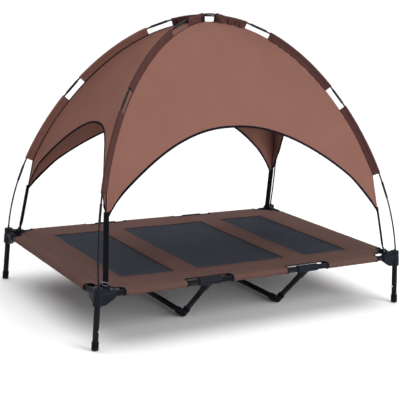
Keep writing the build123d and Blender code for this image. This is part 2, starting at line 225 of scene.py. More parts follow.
def surface(name, grid, around=False, keep=None, weld=False, outward=False):
    """A mesh through a grid of points, rows by columns. Its UV map holds lengths in metres.

    around joins the last column to the first, keep chooses faces, weld merges points that
    coincide, as at a pole, and outward turns the faces of a closed shape out.
    """
    rows, columns = grid.shape[:2]
    ring = np.concatenate([grid, grid[:, :1]], axis=1) if around else grid
    along = np.concatenate([[0], np.cumsum(np.linalg.norm(np.diff(ring, axis=1), axis=2).mean(0))])
    down = np.concatenate([[0], np.cumsum(np.linalg.norm(np.diff(ring, axis=0), axis=2).mean(1))])
    i, j = np.meshgrid(np.arange(rows - 1), np.arange(ring.shape[1] - 1), indexing="ij")
    after = (j + 1) % columns
    quads = np.stack([(i, j), (i + 1, j), (i + 1, after), (i, after)])
    faces = np.moveaxis(quads[:, 0] * columns + quads[:, 1], 0, -1)
    near_edge = (along[j], down[i], along[j], down[i + 1])
    far_edge = (along[j + 1], down[i + 1], along[j + 1], down[i])
    lengths = np.moveaxis(np.stack(near_edge + far_edge), 0, -1)
    if keep is None:
        keep = np.ones(i.shape, bool)
    faces, lengths = faces[keep], lengths[keep]
    used, faces = np.unique(faces, return_inverse=True)
    mesh = bpy.data.meshes.new(name)
    mesh.from_pydata(grid.reshape(-1, 3)[used].tolist(), [], faces.reshape(-1, 4).tolist())
    mesh.uv_layers.new(name="cloth").data.foreach_set("uv", lengths.astype(np.float32).ravel())
    if weld or outward:
        work = bmesh.new()
        work.from_mesh(mesh)
        bmesh.ops.remove_doubles(work, verts=work.verts, dist=1e-6)
        if outward:
            bmesh.ops.recalc_face_normals(work, faces=work.faces)
        work.to_mesh(mesh)
        work.free()
    mesh.polygons.foreach_set("use_smooth", np.ones(len(mesh.polygons), bool))
    piece = bpy.data.objects.new(name, mesh)
    bpy.context.scene.collection.objects.link(piece)
    return piece


def unit(vectors):
    """The same vectors with length 1."""
    return vectors / np.maximum(np.linalg.norm(vectors, axis=-1, keepdims=True), 1e-12)


def turned_on(start, end, profile, sides=40):
    """A grid for a shape turned on the line from start to end.

    Each row of profile is (distance along the line, radius). A point is start + distance *
    along + radius * (cos a * first + sin a * second), for a all the way round.
    """
    along = unit(np.asarray(end, float) - np.asarray(start, float))
    first = unit(np.cross(along, [0.0, 0.3, 1.0] if abs(along[1]) < 0.9 else [1.0, 0.0, 0.0]))
    second = np.cross(along, first)
    turn = np.linspace(0, 2 * pi, sides, endpoint=False)
    ring = np.cos(turn)[:, None] * first + np.sin(turn)[:, None] * second
    distance, radius = np.asarray(profile, float).T
    return np.asarray(start) + distance[:, None, None] * along + radius[:, None, None] * ring[None]


corners = {"front_left": (-1, -1), "front_right": (1, -1), "back_left": (-1, 1), "back_right": (1, 1)}
half_length, half_width, rail_height, bracket_top = 0.590, 0.400, 0.173, 0.195
tube_radius, tube_bore = 0.0095, 0.0083
leg_splay, connector_x, elbow_height = 0.0125, 0.195, 0.0125
diagonal = np.array([half_length, half_width]) / hypot(half_length, half_width)


def leg_point(height, sx, sy):
    """A point of a leg's axis, which splays out along the diagonal towards the floor."""
    out = leg_splay * (bracket_top - height) / bracket_top * diagonal
    return np.array([sx * (half_length + out[0]), sy * (half_width + out[1]), height])


def steel_tube(node, start, end, body):
    """A round tube with its two cut ends slightly broken, in place of a CAD tube."""
    length = np.linalg.norm(np.asarray(end) - np.asarray(start))
    edge = 0.0004
    wall = [(0, tube_radius - edge), (edge, tube_radius), (length - edge, tube_radius)]
    wall += [(length, tube_radius - edge), (length, tube_bore), (0, tube_bore), (0, tube_radius - edge)]
    piece = surface("tube_" + node, turned_on(start, end, wall), around=True, outward=True)
    return dress(piece, black_coat, body, [node])


black_coat = powder_coat()
socket_stop, elbow_stop, joint_gap = 0.013, 0.0165, 0.0005
leg_tube_low, leg_tube_high = 0.006, 0.186
rail_cut_x, rail_cut_y = half_length - socket_stop, half_width - socket_stop
long_cuts = {
    "left": (-rail_cut_x, -connector_x - joint_gap),
    "middle": (-connector_x + joint_gap, connector_x - joint_gap),
    "right": (connector_x + joint_gap, rail_cut_x),
}
for side, y in (("front", -half_width), ("back", half_width)):
    for part, (x0, x1) in long_cuts.items():
        steel_tube(f"{side}_rail_{part}", (x0, y, rail_height), (x1, y, rail_height), "frame")
for side, x in (("left", -half_length), ("right", half_length)):
    steel_tube(f"{side}_rail", (x, -rail_cut_y, rail_height), (x, rail_cut_y, rail_height), "frame")
    bar_x = connector_x if side == "right" else -connector_x
    reach = half_width - (rail_height - elbow_height) - elbow_stop
    steel_tube(f"floor_bar_{side}", (bar_x, -reach, elbow_height), (bar_x, reach, elbow_height), "frame")
for corner, (sx, sy) in corners.items():
    rail_axis = np.array([sx * connector_x, sy * half_width, rail_height])
    bend = np.array([sx * connector_x, sy * (half_width - rail_height + elbow_height), elbow_height])
    slope = unit(rail_axis - bend)
    steel_tube(f"support_arm_{corner}", rail_axis - slope * elbow_stop, bend + slope * elbow_stop, "frame")
    leg_ends = leg_point(leg_tube_low, sx, sy), leg_point(leg_tube_high, sx, sy)
    steel_tube(f"leg_tube_{corner}", *leg_ends, "leg_" + corner)

# ---------------------------------------------------------------------------------------------
# Moulded pieces: corner brackets, rail connectors with their slanted lugs, and elbows. Black
# glass-filled nylon with a fine spark texture, pushed on the tubes.


def moulded_nylon():
    """Black nylon: spark texture, faint flow marks, and sharp edges painted paler and made glossier, partly
    wear and partly a painted sheen.
    """
    nylon = Finish("moulded_nylon", Specular_IOR_Level=0.07)
    where = nylon.place()
    flow = nylon.noise(where, 30.0, 3.0)
    worn = nylon.node("ShaderNodeNewGeometry").out("Pointiness")
    # Sharp edges are painted paler: partly wear, partly a painted sheen.
    edges = ((worn - 0.53) * 12.0).larger(0.0).smaller(1.0)
    base = nylon.colour(flow, (0.004, 0.005, 0.009, 1), (0.012, 0.014, 0.022, 1))
    base = nylon.colour(edges * 0.5, base, (0.035, 0.038, 0.050, 1))
    return nylon.wear(base, 0.38 + 0.14 * flow - 0.08 * edges, nylon.noise(where, 1600.0), 0.00012, 0.4)


def moulded(node, grain, material, rounds=6):
    """A copy of a CAD node with the rounded edges a mould leaves.

    The copy's doubles are merged, it is rebuilt on a grid as fine as grain, and each point is
    then drawn towards the middle of its neighbours, rounds times over.
    """
    mesh = nodes[node].data.copy()
    work = bmesh.new()
    work.from_mesh(mesh)
    bmesh.ops.remove_doubles(work, verts=work.verts, dist=1e-6)
    work.to_mesh(mesh)
    work.free()
    rough = bpy.data.objects.new("rough_" + node, mesh)
    bpy.context.scene.collection.objects.link(rough)
    remesh = rough.modifiers.new("rebuild", "REMESH")
    remesh.mode, remesh.voxel_size = "VOXEL", grain
    relax = rough.modifiers.new("relax", "SMOOTH")
    relax.factor, relax.iterations = 0.5, rounds
    done = bpy.data.meshes.new_from_object(rough.evaluated_get(bpy.context.evaluated_depsgraph_get()))
    bpy.data.objects.remove(rough)
    done.polygons.foreach_set("use_smooth", np.ones(len(done.polygons), bool))
    piece = bpy.data.objects.new("moulded_" + node, done)
    bpy.context.scene.collection.objects.link(piece)
    return dress(piece, material, body_of(nodes[node])[0], [node])


nylon = moulded_nylon()
fine, coarse = 0.0011, 0.0013
for corner in corners:
    moulded("corner_bracket_" + corner, fine, nylon)
    moulded("rail_connector_" + corner, coarse, nylon)
    moulded("support_elbow_" + corner, coarse, nylon)

# ---------------------------------------------------------------------------------------------
# Feet and snap buttons. A black rubber cup is pushed over each leg's end, with rings for grip
# and a sole cut flat on the floor. A plated steel button stands out of a hole in the leg.


def foot_rubber():
    """Black rubber with a dusty bloom near the floor."""
    rubber = Finish("foot_rubber", Specular_IOR_Level=0.06)
    where = rubber.place()
    height = rubber.node("ShaderNodeSeparateXYZ", {}, where).out("Z")
    dusty = (1.0 - height * 60.0).larger(0.0) * rubber.noise(where, 260.0, 4.0)
    base = rubber.colour(dusty * 0.5, (0.006, 0.006, 0.008, 1), (0.060, 0.057, 0.054, 1))
    return rubber.wear(base, 0.62 + 0.2 * dusty, rubber.noise(where, 1200.0), 0.0001, 0.3)


def plated_steel(name, dull, bright):
    """Nickel plate with faint drawn lines."""
    plate = Finish(name, Metallic=1.0)
    blotch = plate.noise(plate.place(), 500.0, 2.0)
    base = plate.colour(blotch, dull, bright)
    return plate.wear(base, 0.18 + 0.15 * blotch, plate.noise(plate.place(), 2500.0), 0.00005, 0.2)


rubber = foot_rubber()
steel = plated_steel("button_steel", (0.62, 0.62, 0.63, 1), (0.82, 0.82, 0.83, 1))
foot_radius, foot_height, foot_bore = 0.0115, 0.028, 0.00955
button_height, button_radius, button_root = 0.062, 0.003, 0.0035
button_headings = {"front_left": -56.0, "front_right": 180.0, "back_left": 180.0, "back_right": 0.0}
for corner, (sx, sy) in corners.items():
    ring_heights = np.repeat(np.linspace(0.006, 0.020, 8), 2)[1:]
    rings = [(h, foot_radius - 0.0005 * (k % 2)) for k, h in enumerate(ring_heights)]
    cup = [(-0.001, 0.0), (-0.001, 0.0078), (0.0008, 0.0102), (0.0036, foot_radius), *rings]
    cup += [(0.0225, foot_radius), (foot_height - 0.0008, foot_radius), (foot_height, foot_radius - 0.0008)]
    cup += [(foot_height, foot_bore), (leg_tube_low, foot_bore), (leg_tube_low, 0.0)]
    grid = turned_on(leg_point(0.0, sx, sy), leg_point(0.1, sx, sy), cup)
    grid[..., 2] = np.maximum(grid[..., 2], 0.0)
    foot = surface("foot_" + corner, grid, around=True, weld=True, outward=True)
    dress(foot, rubber, "leg_" + corner, ["foot_cap_" + corner])
    up = unit(leg_point(bracket_top, sx, sy) - leg_point(0.0, sx, sy))
    heading = radians(button_headings[corner])
    facing = np.array([cos(heading), sin(heading), 0.0])
    facing = unit(facing - np.dot(facing, up) * up)
    root = leg_point(button_height, sx, sy) + facing * button_root
    pin = [(0.0, 0.0), (0.0, button_radius), (0.0066, button_radius)]
    pin += [(0.0074, 0.0026), (0.0079, 0.0015), (0.0080, 0.0)]
    turned = turned_on(root, root + facing, pin, 28)
    button = surface("button_" + corner, turned, around=True, weld=True, outward=True)
    dress(button, steel, "button_" + corner, ["snap_button_" + corner])

# ---------------------------------------------------------------------------------------------
# Bed sheet. One piece of brown coated polyester. Its edges go round the rails and are sewn back
# under it in sleeves, and it is cut out at the brackets and connectors and round the mesh.

cloth_thickness = 0.0013
hug = 0.0107
sewn_in, sewn_up = 0.040, 0.0090
reach_to_seam = hypot(sewn_in, sewn_up)
wrap_angle = atan2(-sewn_in, sewn_up) + 2 * pi - acos(hug / reach_to_seam)
wrap_arc = hug * wrap_angle
hem = (reach_to_seam**2 - hug**2) ** 0.5
leaving = np.array([hug * sin(wrap_angle), hug * cos(wrap_angle)])
homeward = (np.array([-sewn_in, sewn_up]) - leaving) / hem


def round_rail(distance, half):
    """Where cloth this far from the middle lies: (sideways, down).

    It is flat as far as the rail's axis, then goes round the tube by distance / hug radians,
    and from there runs straight back to the seam under the sheet.
    """
    beyond = np.abs(distance) - half
    angle = np.clip(beyond, 0, wrap_arc) / hug
    past = np.clip(beyond - wrap_arc, 0, hem)
    sideways = np.minimum(np.abs(distance), half) + hug * np.sin(angle) + past * homeward[0]
    down = hug * (np.cos(angle) - 1) + past * homeward[1]
    return np.sign(distance) * sideways, down


def sagging(x, y):
    """How far the sheet hangs at a point: a shallow dish, and folds that fan out of the corners."""
    dish = 0.0042 * (1 - (x / half_length) ** 2).clip(0) * (1 - (y / half_width) ** 2).clip(0)
    u, v = half_length - np.abs(x), half_width - np.abs(y)
    away, fan = np.hypot(u, v), np.arctan2(v, u)
    quiet = np.clip(np.minimum(u, v) / 0.03, 0, 1)
    folds = 0.0011 * np.exp(-(((away - 0.10) / 0.09) ** 2)) * np.sin(fan * 13 + 3 * x) * quiet
    slack = 0.0006 * np.sin(x * 31 + 2 * np.sin(y * 9)) * np.clip(v / 0.06, 0, 1) * np.clip(u / 0.06, 0, 1)
    return dish + folds + slack


def lay(s, t):
    """The sheet as a surface of s, along the bed, and t, across it."""
    x, down_x = round_rail(s, half_length)
    y, down_y = round_rail(t, half_width)
    pucker = 0.00025 * np.sin(s * 210 + 1.5 * np.sin(t * 40)) * ((down_x < 0) | (down_y < 0))
    return np.stack([x, y, rail_height + hug + down_x + down_y - sagging(x, y) + pucker], axis=-1)


def stops(points, step, fine_step):
    """Grid lines through all these points, no further apart than step, or fine_step past a rail."""
    found = []
    for a, b in zip(points[:-1], points[1:]):
        wanted = fine_step if b - a < wrap_arc * 1.01 and min(abs(a), abs(b)) >= half_width - 1e-6 else step
        found.append(np.linspace(a, b, max(2, int(np.ceil((b - a) / wanted)) + 1))[:-1])
    return np.concatenate(found + [[points[-1]]])


def both_ways(half):
    """The same stops on both sides of the middle."""
    return [-p for p in reversed(half)] + list(half)


notch_reach = 0.088
notch_half = [(notch_reach, 0.012), (0.084, 0.0165), (0.078, 0.0198), (0.062, 0.0235), (0.054, 0.0295)]
notch_line = np.array(notch_half + [(v, u) for u, v in reversed(notch_half)])
cut_half, cut_depth = 0.085, 0.016
cut_ends = (connector_x - cut_half, connector_x + cut_half)
window_ends = (0.175, 0.265, 0.455)
window_half = 0.285
past_rail = np.array([0.0, wrap_arc, wrap_arc + hem])
long_half = [cut_ends[0], *window_ends[:2], cut_ends[1], window_ends[2], half_length - notch_reach]
long_stops = both_ways(long_half + list(half_length + past_rail))
short_half = [window_half, half_width - notch_reach, half_width - cut_depth]
short_stops = both_ways(short_half + list(half_width + past_rail))
cell, wrapped_cell = 0.0075, 0.0028
along_lines = stops(long_stops, cell, wrapped_cell)
across_lines = stops(short_stops, cell, wrapped_cell)
S, T = np.meshgrid(along_lines, across_lines, indexing="ij")


def in_notch(s, t):
    """True in a corner's cut-out, whose edge falls from (0.012, 0.088) to (0.088, 0.012)."""
    u, v = half_length - np.abs(s), half_width - np.abs(t)
    edge = np.interp(u, notch_line[::-1, 0], notch_line[::-1, 1], left=notch_reach)
    return (u < notch_reach) & (v < edge)


mid_s, mid_t = (S[1:, 1:] + S[:-1, :-1]) / 2, (T[1:, 1:] + T[:-1, :-1]) / 2
size_s, size_t = np.abs(mid_s), np.abs(mid_t)
at_connector = (np.abs(size_s - connector_x) < cut_half) & (size_t > half_width - cut_depth)
in_side_window = (size_s > window_ends[1]) & (size_s < window_ends[2])
in_window = (size_t < window_half) & ((size_s < window_ends[0]) | in_side_window)
kept = ~(in_notch(mid_s, mid_t) | at_connector | in_window)
flat_cells = np.diff(along_lines)[:, None] * np.diff(across_lines)[None, :]
flat_area = float(flat_cells[kept].sum())

# The stepped edge left at each corner is drawn onto the cut-out's line.
touching = np.zeros(S.shape, int)
around_point = np.zeros(S.shape, int)
for di in (0, 1):
    for dj in (0, 1):
        touching[di : di + kept.shape[0], dj : dj + kept.shape[1]] += kept
        around_point[di : di + kept.shape[0], dj : dj + kept.shape[1]] += 1
U, V = half_length - np.abs(S), half_width - np.abs(T)
closer, farther = np.minimum(U, V), np.maximum(U, V)
loose = (touching > 0) & (touching < around_point) & (farther < notch_reach - 1e-6) & (closer > 0.011)
spots = np.stack([U[loose], V[loose]], axis=-1)[:, None]
start, run = notch_line[:-1][None], np.diff(notch_line, axis=0)[None]
share = np.clip(((spots - start) * run).sum(-1) / (run**2).sum(-1), 0, 1)
candidates = start + share[..., None] * run
nearest = candidates[np.arange(len(spots)), np.linalg.norm(candidates - spots, axis=-1).argmin(1)]
S[loose] = np.sign(S[loose]) * (half_length - nearest[:, 0])
T[loose] = np.sign(T[loose]) * (half_width - nearest[:, 1])


def coated_polyester(name, dark, light, sewn=False):
    """Brown coated polyester: plain weave, slubs, faint creases, and stitching where sewn, with painted
    shade darkening the furrows beside the seams and windows.
    """
    cloth = Finish(name, Specular_IOR_Level=0.04)
    where = cloth.place()
    u, v = cloth.cloth_place()
    threads = (u * (2 * pi / 0.0011)).sine() * (v * (2 * pi / 0.0011)).sine()
    slub = cloth.noise(where, 9.0, 4.0)
    fine_slub = cloth.noise(where, 420.0, 2.0)
    base = cloth.colour(slub * 0.6 + fine_slub * 0.25 + threads * 0.06, dark, light)
    height = threads * 0.35 + fine_slub * 0.5
    if sewn:
        split = cloth.node("ShaderNodeSeparateXYZ", {}, where)
        x, y = abs(split.out("X")), abs(split.out("Y"))
        side_middle, side_half = (window_ends[1] + window_ends[2]) / 2, (window_ends[2] - window_ends[1]) / 2
        gap = abs(x - side_middle) - side_half
        window = gap.smaller(x - window_ends[0]).larger(y - window_half)
        seam = (x - (half_length - sewn_in)).larger(y - (half_width - sewn_in))
        line = abs(window - 0.005).smaller(abs(abs(seam) - 0.0025) + 0.0002)
        stitch = (line < 0.0008) * ((split.out("X") * 1500.0 + split.out("Y") * 1500.0).sine() > -0.45)
        # The furrows along the seams and round the windows are sunk in the bump and also painted darker:
        # painted shade in the furrows.
        furrow_and_painted_shade = (abs(seam) < 0.0006) + (abs(window - 0.011) < 0.0006)
        base = cloth.colour((stitch * 0.75).larger(furrow_and_painted_shade * 0.35), base, (0.045, 0.022, 0.018, 1))
        height = height - 1.6 * stitch - 1.2 * furrow_and_painted_shade
    return cloth.wear(base, 0.74 + 0.12 * fine_slub, height, 0.00025, 0.45)


def thicken(piece, thickness, offset=0.0):
    solid = piece.modifiers.new("cloth", "SOLIDIFY")
    solid.thickness, solid.offset = thickness, offset
    return piece


# The bed's cloth is the canopy's brown painted darker: painted shade from the canopy overhead.
bed_cloth = coated_polyester("bed_cloth", (0.080, 0.044, 0.037, 1), (0.124, 0.068, 0.059, 1), sewn=True)
bed = thicken(surface("bed_sheet_cloth", lay(S, T), keep=kept), cloth_thickness)
dress(bed, bed_cloth, "frame", ["bed_sheet"])

# ---------------------------------------------------------------------------------------------
# Bindings of the sheet. A black grosgrain tape is folded over each cut edge, at the corners and
# the connectors, and sewn through.


def ribbed_tape(name="binding_tape", pitch=0.0014):
    """Black woven tape with fine ribs across it and slightly paler worn ribs."""
    woven = Finish(name, Specular_IOR_Level=0.04)
    u, v = woven.cloth_place()
    ribs = (v * (2 * pi / pitch)).sine()
    fuzz = woven.noise(woven.place(), 700.0, 2.0)
    base = woven.colour(ribs * 0.2 + fuzz * 0.6, (0.003, 0.003, 0.006, 1), (0.014, 0.014, 0.022, 1))
    return woven.wear(base, 0.60 + 0.15 * fuzz, ribs * 0.6 + fuzz * 0.5, 0.0003, 0.5)


def tape(name, line, facing, width, depth, material, body, slot, stands_for=()):
    """A flattened round profile carried along a line.

    A point is line + width/2 * cos a * side + depth/2 * sin a * facing. The ends are closed.
    """
    line, facing = np.asarray(line, float), np.asarray(facing, float)
    tangent = unit(np.gradient(line, axis=0))
    facing = unit(facing - (facing * tangent).sum(-1, keepdims=True) * tangent)
    side = np.cross(tangent, facing)
    turn = np.linspace(0, 2 * pi, 12, endpoint=False)
    squared = lambda wave: np.sign(wave) * np.abs(wave) ** 0.7
    offset = width / 2 * squared(np.cos(turn))[None, :, None] * side[:, None]
    offset = offset + depth / 2 * squared(np.sin(turn))[None, :, None] * facing[:, None]
    grid = line[:, None] + offset
    first = np.broadcast_to(line[0], grid[:1].shape)
    last = np.broadcast_to(line[-1], grid[:1].shape)
    piece = surface(name, np.concatenate([first, grid, last]), around=True, weld=True, outward=True)
    return dress(piece, material, body, stands_for)


def even(path, step):
    """Points at even steps along a path of straight runs."""
    path = np.asarray(path, float)
    ends = np.concatenate([[0], np.cumsum(np.linalg.norm(np.diff(path, axis=0), axis=1))])
    marks = np.linspace(0, ends[-1], int(ends[-1] / step) + 2)
    return np.stack([np.interp(marks, ends, path[:, k]) for k in range(path.shape[1])], axis=-1)


def cloth_facing(s, t):
    """Unit vectors square to the sheet."""
    step = 1e-4
    return unit(np.cross(lay(s + step, t) - lay(s - step, t), lay(s, t + step) - lay(s, t - step)))


binding = ribbed_tape()
folded_tape = (0.0062, 0.0034)
wrapped = wrap_arc + hem - 0.001
for corner, (sx, sy) in corners.items():
    edge = np.concatenate([[(notch_reach, -wrapped)], notch_line, [(-wrapped, notch_reach)]])
    edge = even(edge, 0.0025)
    s, t = sx * (half_length - edge[:, 0]), sy * (half_width - edge[:, 1])
    facing = cloth_facing(s, t)
    tape("corner_binding_" + corner, lay(s, t), facing, *folded_tape, binding, "frame", "webbing")
    deep, outer = half_width - cut_depth, half_width + wrapped
    curve = 0.004
    edge = [(cut_ends[0], outer), (cut_ends[0], deep + curve), (cut_ends[0] + curve, deep)]
    edge += [(cut_ends[1] - curve, deep), (cut_ends[1], deep + curve), (cut_ends[1], outer)]
    edge = even(edge, 0.0025)
    s, t = sx * edge[:, 0], sy * edge[:, 1]
    facing = cloth_facing(s, t)
    tape("connector_binding_" + corner, lay(s, t), facing, *folded_tape, binding, "frame", "webbing")

# ---------------------------------------------------------------------------------------------
# Mesh panels. Dark slate coated mesh, sewn under the sheet's three windows, where the air goes
# through. The strands cross in a plain weave a little over a millimetre apart.


def open_mesh():
    """Coated mesh: round strands, one over and one under, with the gaps between them painted dark as painted
    shade seen through the holes.
    """
    mesh = Finish("coated_mesh", Specular_IOR_Level=0.04)
    where = mesh.place()
    split = mesh.node("ShaderNodeSeparateXYZ", {}, where)
    pitch = pi / 0.0016
    over = abs((split.out("X") * pitch).sine())
    under = abs((split.out("Y") * pitch).sine())
    strand = over.larger(under)
    worn = mesh.noise(where, 12.0, 3.0)
    # Where neither strand lies the colour goes darkest: painted shade in place of the open holes.
    base = mesh.colour(strand * 0.65 + worn * 0.35, (0.003, 0.004, 0.007, 1), (0.030, 0.035, 0.050, 1))
    return mesh.wear(base, 0.50 + 0.2 * worn, strand + over * under * 0.4, 0.0005, 0.6)


mesh_cloth = open_mesh()
mesh_drop = 0.0016
mesh_names = {"left": (-0.463, -0.257), "middle": (-0.183, 0.183), "right": (0.257, 0.463)}
for part, (x0, x1) in mesh_names.items():
    x, y = np.meshgrid(np.linspace(x0, x1, 34), np.linspace(-0.293, 0.293, 90), indexing="ij")
    z = rail_height + hug - mesh_drop - sagging(x, y)
    panel = thicken(surface("mesh_panel_" + part, np.stack([x, y, z], axis=-1)), 0.0009)
    dress(panel, mesh_cloth, "frame", ["mesh_panels"])
    x1 - x0

# ---------------------------------------------------------------------------------------------
# Poles. Two black glass-fibre poles cross over the bed, each in sections that push into
# metal sleeves. Their steel tips stand in the brackets' tops.

pole_rise, run_power, rise_power, bow, bow_power = 0.812, 1.03, 1.06, 0.076, 1.25


def gloss_black(name, roughness, paler):
    """Smooth black: fine scuffs in an even gloss."""
    gloss = Finish(name, Specular_IOR_Level=0.10)
    scuff = gloss.noise(gloss.place(), 180.0, 4.0)
    base = gloss.colour(scuff, (0.004, 0.004, 0.006, 1), paler)
    return gloss.wear(base, roughness + 0.18 * scuff, scuff, 0.00008, 0.3)


rod_finish = gloss_black("glass_fibre_rod", 0.22, (0.012, 0.012, 0.015, 1))
sleeve_finish = gloss_black("painted_sleeve", 0.30, (0.022, 0.022, 0.027, 1))
for node in ("canopy_pole_a", "canopy_pole_b"):
    dress(nodes[node], rod_finish)
dress(nodes["pole_ferrules"], sleeve_finish)
dress(nodes["pole_tips"], sleeve_finish)


def half_pole(phi, sx, sy, lift=0.0):
    """A half pole from its bracket, phi 0, to the crossing, phi pi/2.

    x = sx L cos^1.03, y = sy (W cos^1.03 - 0.076 sin(2 phi)^1.25), z = 0.195 + rise sin^1.06.
    """
    phi = np.asarray(phi, float)
    run = np.cos(phi).clip(0) ** run_power
    x = sx * half_length * run
    y = sy * (half_width * run - bow * np.sin(2 * phi).clip(0) ** bow_power)
    z = bracket_top + (pole_rise + lift) * np.sin(phi).clip(0) ** rise_power
    return np.stack([x, y, z], axis=-1)


def outward(phi, sx, sy):
    """Unit vectors square to a half pole, pointing out of the dome."""
    step = 1e-3
    ahead = half_pole(np.minimum(phi + step, pi / 2), sx, sy)
    behind = half_pole(np.maximum(phi - step, 0), sx, sy)
    tangent = unit(ahead - behind)
    away = half_pole(phi, sx, sy) - np.array([0, 0, bracket_top + 0.2])
    return unit(away - (away * tangent).sum(-1, keepdims=True) * tangent)


# ---------------------------------------------------------------------------------------------
# Canopy. Four panels of the same brown cloth sewn into one dome. Its seams run just inside the
# poles, tension hollows it between them, and an arched doorway opens at each side.

seam_inset = 0.024
tip_heights = {"front_left": 0.390, "front_right": 0.328, "back_left": 0.347, "back_right": 0.346}
doorway_top, doorway_power, doorway_root = 0.640, 2.3, 0.85
sides = (("front_left", "front_right", (0, 1), 0.050), ("front_right", "back_right", (-1, 0), 0.040))
sides += (("back_right", "back_left", (0, -1), 0.050), ("back_left", "front_left", (1, 0), 0.040))
angles = np.linspace(0, pi / 2, 4001)
steps = np.linalg.norm(np.diff(half_pole(angles, 1, 1), axis=0), axis=1)
from_crossing = np.concatenate([[0], np.cumsum(steps[::-1])])[::-1]
sleeve_end = 0.882
last_angle = np.interp(sleeve_end, from_crossing[::-1], angles[::-1])
strap_thickness, anchor_inset, anchor_height = 0.0016, 0.040, 0.193
bar_radius, bar_gap = 0.0015, 0.0004
strap_inset = anchor_inset + bar_radius + bar_gap + strap_thickness / 2


def strap_foot(sx, sy):
    """Where a strap ends, just behind its buckle's bars."""
    x, y = half_length - strap_inset * diagonal[0], half_width - strap_inset * diagonal[1]
    return np.array([sx * x, sy * y, anchor_height])


def seam(phi, sx, sy):
    """The seam: 24 mm inside a half pole, and below its sleeve straight towards the strap's foot."""
    phi = np.asarray(phi, float)
    step = 0.01
    beside, start, ahead = (
        half_pole(a, sx, sy) - seam_inset * outward(a, sx, sy) for a in (phi, last_angle, last_angle + step)
    )
    foot = strap_foot(sx, sy)
    share = (ahead[2] - start[2]) / step * (last_angle - phi) / (start[2] - foot[2])
    return np.where((phi < last_angle)[..., None], start + share[..., None] * (foot - start), beside)


seam_heights = seam(angles, 1, 1)[:, 2]


def angle_of_seam(height):
    return np.interp(height, seam_heights, angles)


def dome_side(start, end, inward, hollow, columns=58, rows=150):
    """One side of the dome: down runs from its doorway's edge to the crown, across between seams.

    A point lies on the straight line between the two seams at the same phi, moved inward by
    hollow (1 - a^2) sin(2 phi), where a = -1 and 1 at the seams. The doorway's edge is at
    tip + (top - tip) (1 - |a|^2.3)^0.85. Small folds run up from each corner.
    """
    a = np.sin(np.linspace(-1, 1, columns) * pi / 2)
    low, high = tip_heights[start], tip_heights[end]
    tips = (low + high) / 2 + a * (high - low) / 2
    arch = (1 - np.abs(a) ** doorway_power).clip(0) ** doorway_root
    edge = angle_of_seam(tips + (doorway_top - tips) * arch)
    down = np.linspace(0, 1, rows)[:, None] ** 0.9
    phi = edge[None] + down * (pi / 2 - edge[None])
    first, last = seam(phi, *corners[start]), seam(phi, *corners[end])
    share = (a[None, :, None] + 1) / 2
    points = first + (last - first) * share
    middle = (1 - a[None] ** 2) * np.sin(2 * phi).clip(0)
    push = hollow * middle
    gap = np.linalg.norm(last - first, axis=-1)
    for corner, own_share in ((start, share[..., 0]), (end, 1 - share[..., 0])):
        tip = seam(angle_of_seam(tip_heights[corner]), *corners[corner])
        far = np.linalg.norm(points - tip, axis=-1)
        up_seam = unit(seam(angle_of_seam(tip_heights[corner] + 0.15), *corners[corner]) - tip)
        turn = np.arccos(np.clip((unit(points - tip) * up_seam).sum(-1), -1, 1))
        fan = np.exp(-far / 0.17) * np.clip(far / 0.05, 0, 1) * np.clip(turn / 0.12, 0, 1)
        push = push + 0.0034 * fan * np.sin(turn * 13 + far * 9)
        puckers = np.exp(-(own_share * gap) / 0.018) * np.clip(own_share * gap / 0.006, 0, 1)
        push = push + 0.0011 * puckers * np.sin(far * 190 + 2 * np.sin(far * 37))
    x, z = points[..., 0], points[..., 2]
    push = push + 0.0016 * middle * np.sin(x * 13 + z * 7) * np.sin(z * 17)
    return points + push[..., None] * np.array([inward[0], inward[1], 0.0])


canopy_cloth = coated_polyester("canopy_cloth", (0.168, 0.077, 0.060, 1), (0.232, 0.112, 0.089, 1))
dome = np.concatenate([dome_side(*side)[:, :-1] for side in sides], axis=1)
canopy = thicken(surface("canopy_dome", dome, around=True, weld=True, outward=True), 0.0011)
dome_nodes = ["canopy_front", "canopy_back", "canopy_left", "canopy_right", "crown_patch"]
dress(canopy, canopy_cloth, "canopy", dome_nodes)


def faces_area(grid):
    """The area of a closed ring of grid cells."""
    ring = np.concatenate([grid, grid[:, :1]], axis=1)
    a, b = np.diff(ring, axis=0)[:, :-1], np.diff(ring, axis=1)[:-1]
    return float(np.linalg.norm(np.cross(a, b), axis=-1).sum())


faces_area(dome)

# ---------------------------------------------------------------------------------------------
# Doorway bindings and seam piping. The same black tape is folded over each doorway's edge, and
# a thin piping is sewn into the seams on the two short sides.

for (start, end, inward, hollow), side in zip(sides, ("front", "right", "back", "left")):
    rim = dome_side(start, end, inward, hollow, columns=150, rows=60)
    normal = unit(np.cross(np.gradient(rim, axis=1), np.gradient(rim, axis=0)))[0]
    middle_side = -np.array([inward[0], inward[1], 0.0])
    normal = normal * np.sign((normal * (middle_side + np.array([0, 0, 0.3]))).sum(-1, keepdims=True))
    tape(f"doorway_binding_{side}", rim[0], normal, 0.0080, 0.0030, binding, "canopy", "webbing")
for corner, (sx, sy) in corners.items():
    phi = np.linspace(float(angle_of_seam(tip_heights[corner])), 1.535, 150)
    line = seam(phi, sx, sy) + np.array([0.0, -sy * 0.0022, 0.0])
    tape(f"seam_piping_{corner}", line, outward(phi, sx, sy), 0.0034, 0.0034, binding, "canopy", "webbing")

# ---------------------------------------------------------------------------------------------
# Pole sleeves. Along each seam a double fin of cloth reaches out to a tunnel round the pole. It
# is left open at the poles' joints, in windows, puckers near the crown, and is hemmed there in black.

fin_stretches = {"top": (0.050, 0.135), "middle": (0.228, 0.520), "low": (0.608, sleeve_end)}
fin_profile = [(-0.0243, 0.0008), (-0.0180, 0.0009), (-0.0110, 0.0011), (-0.0070, 0.0019), (-0.0046, 0.0032)]
fin_profile += [(-0.0022, 0.0043), (0.0005, 0.0048), (0.0030, 0.0039), (0.0045, 0.0022), (0.0049, 0.0)]
fin_profile = np.array(fin_profile + [(out, -width) for out, width in fin_profile[-2::-1]])


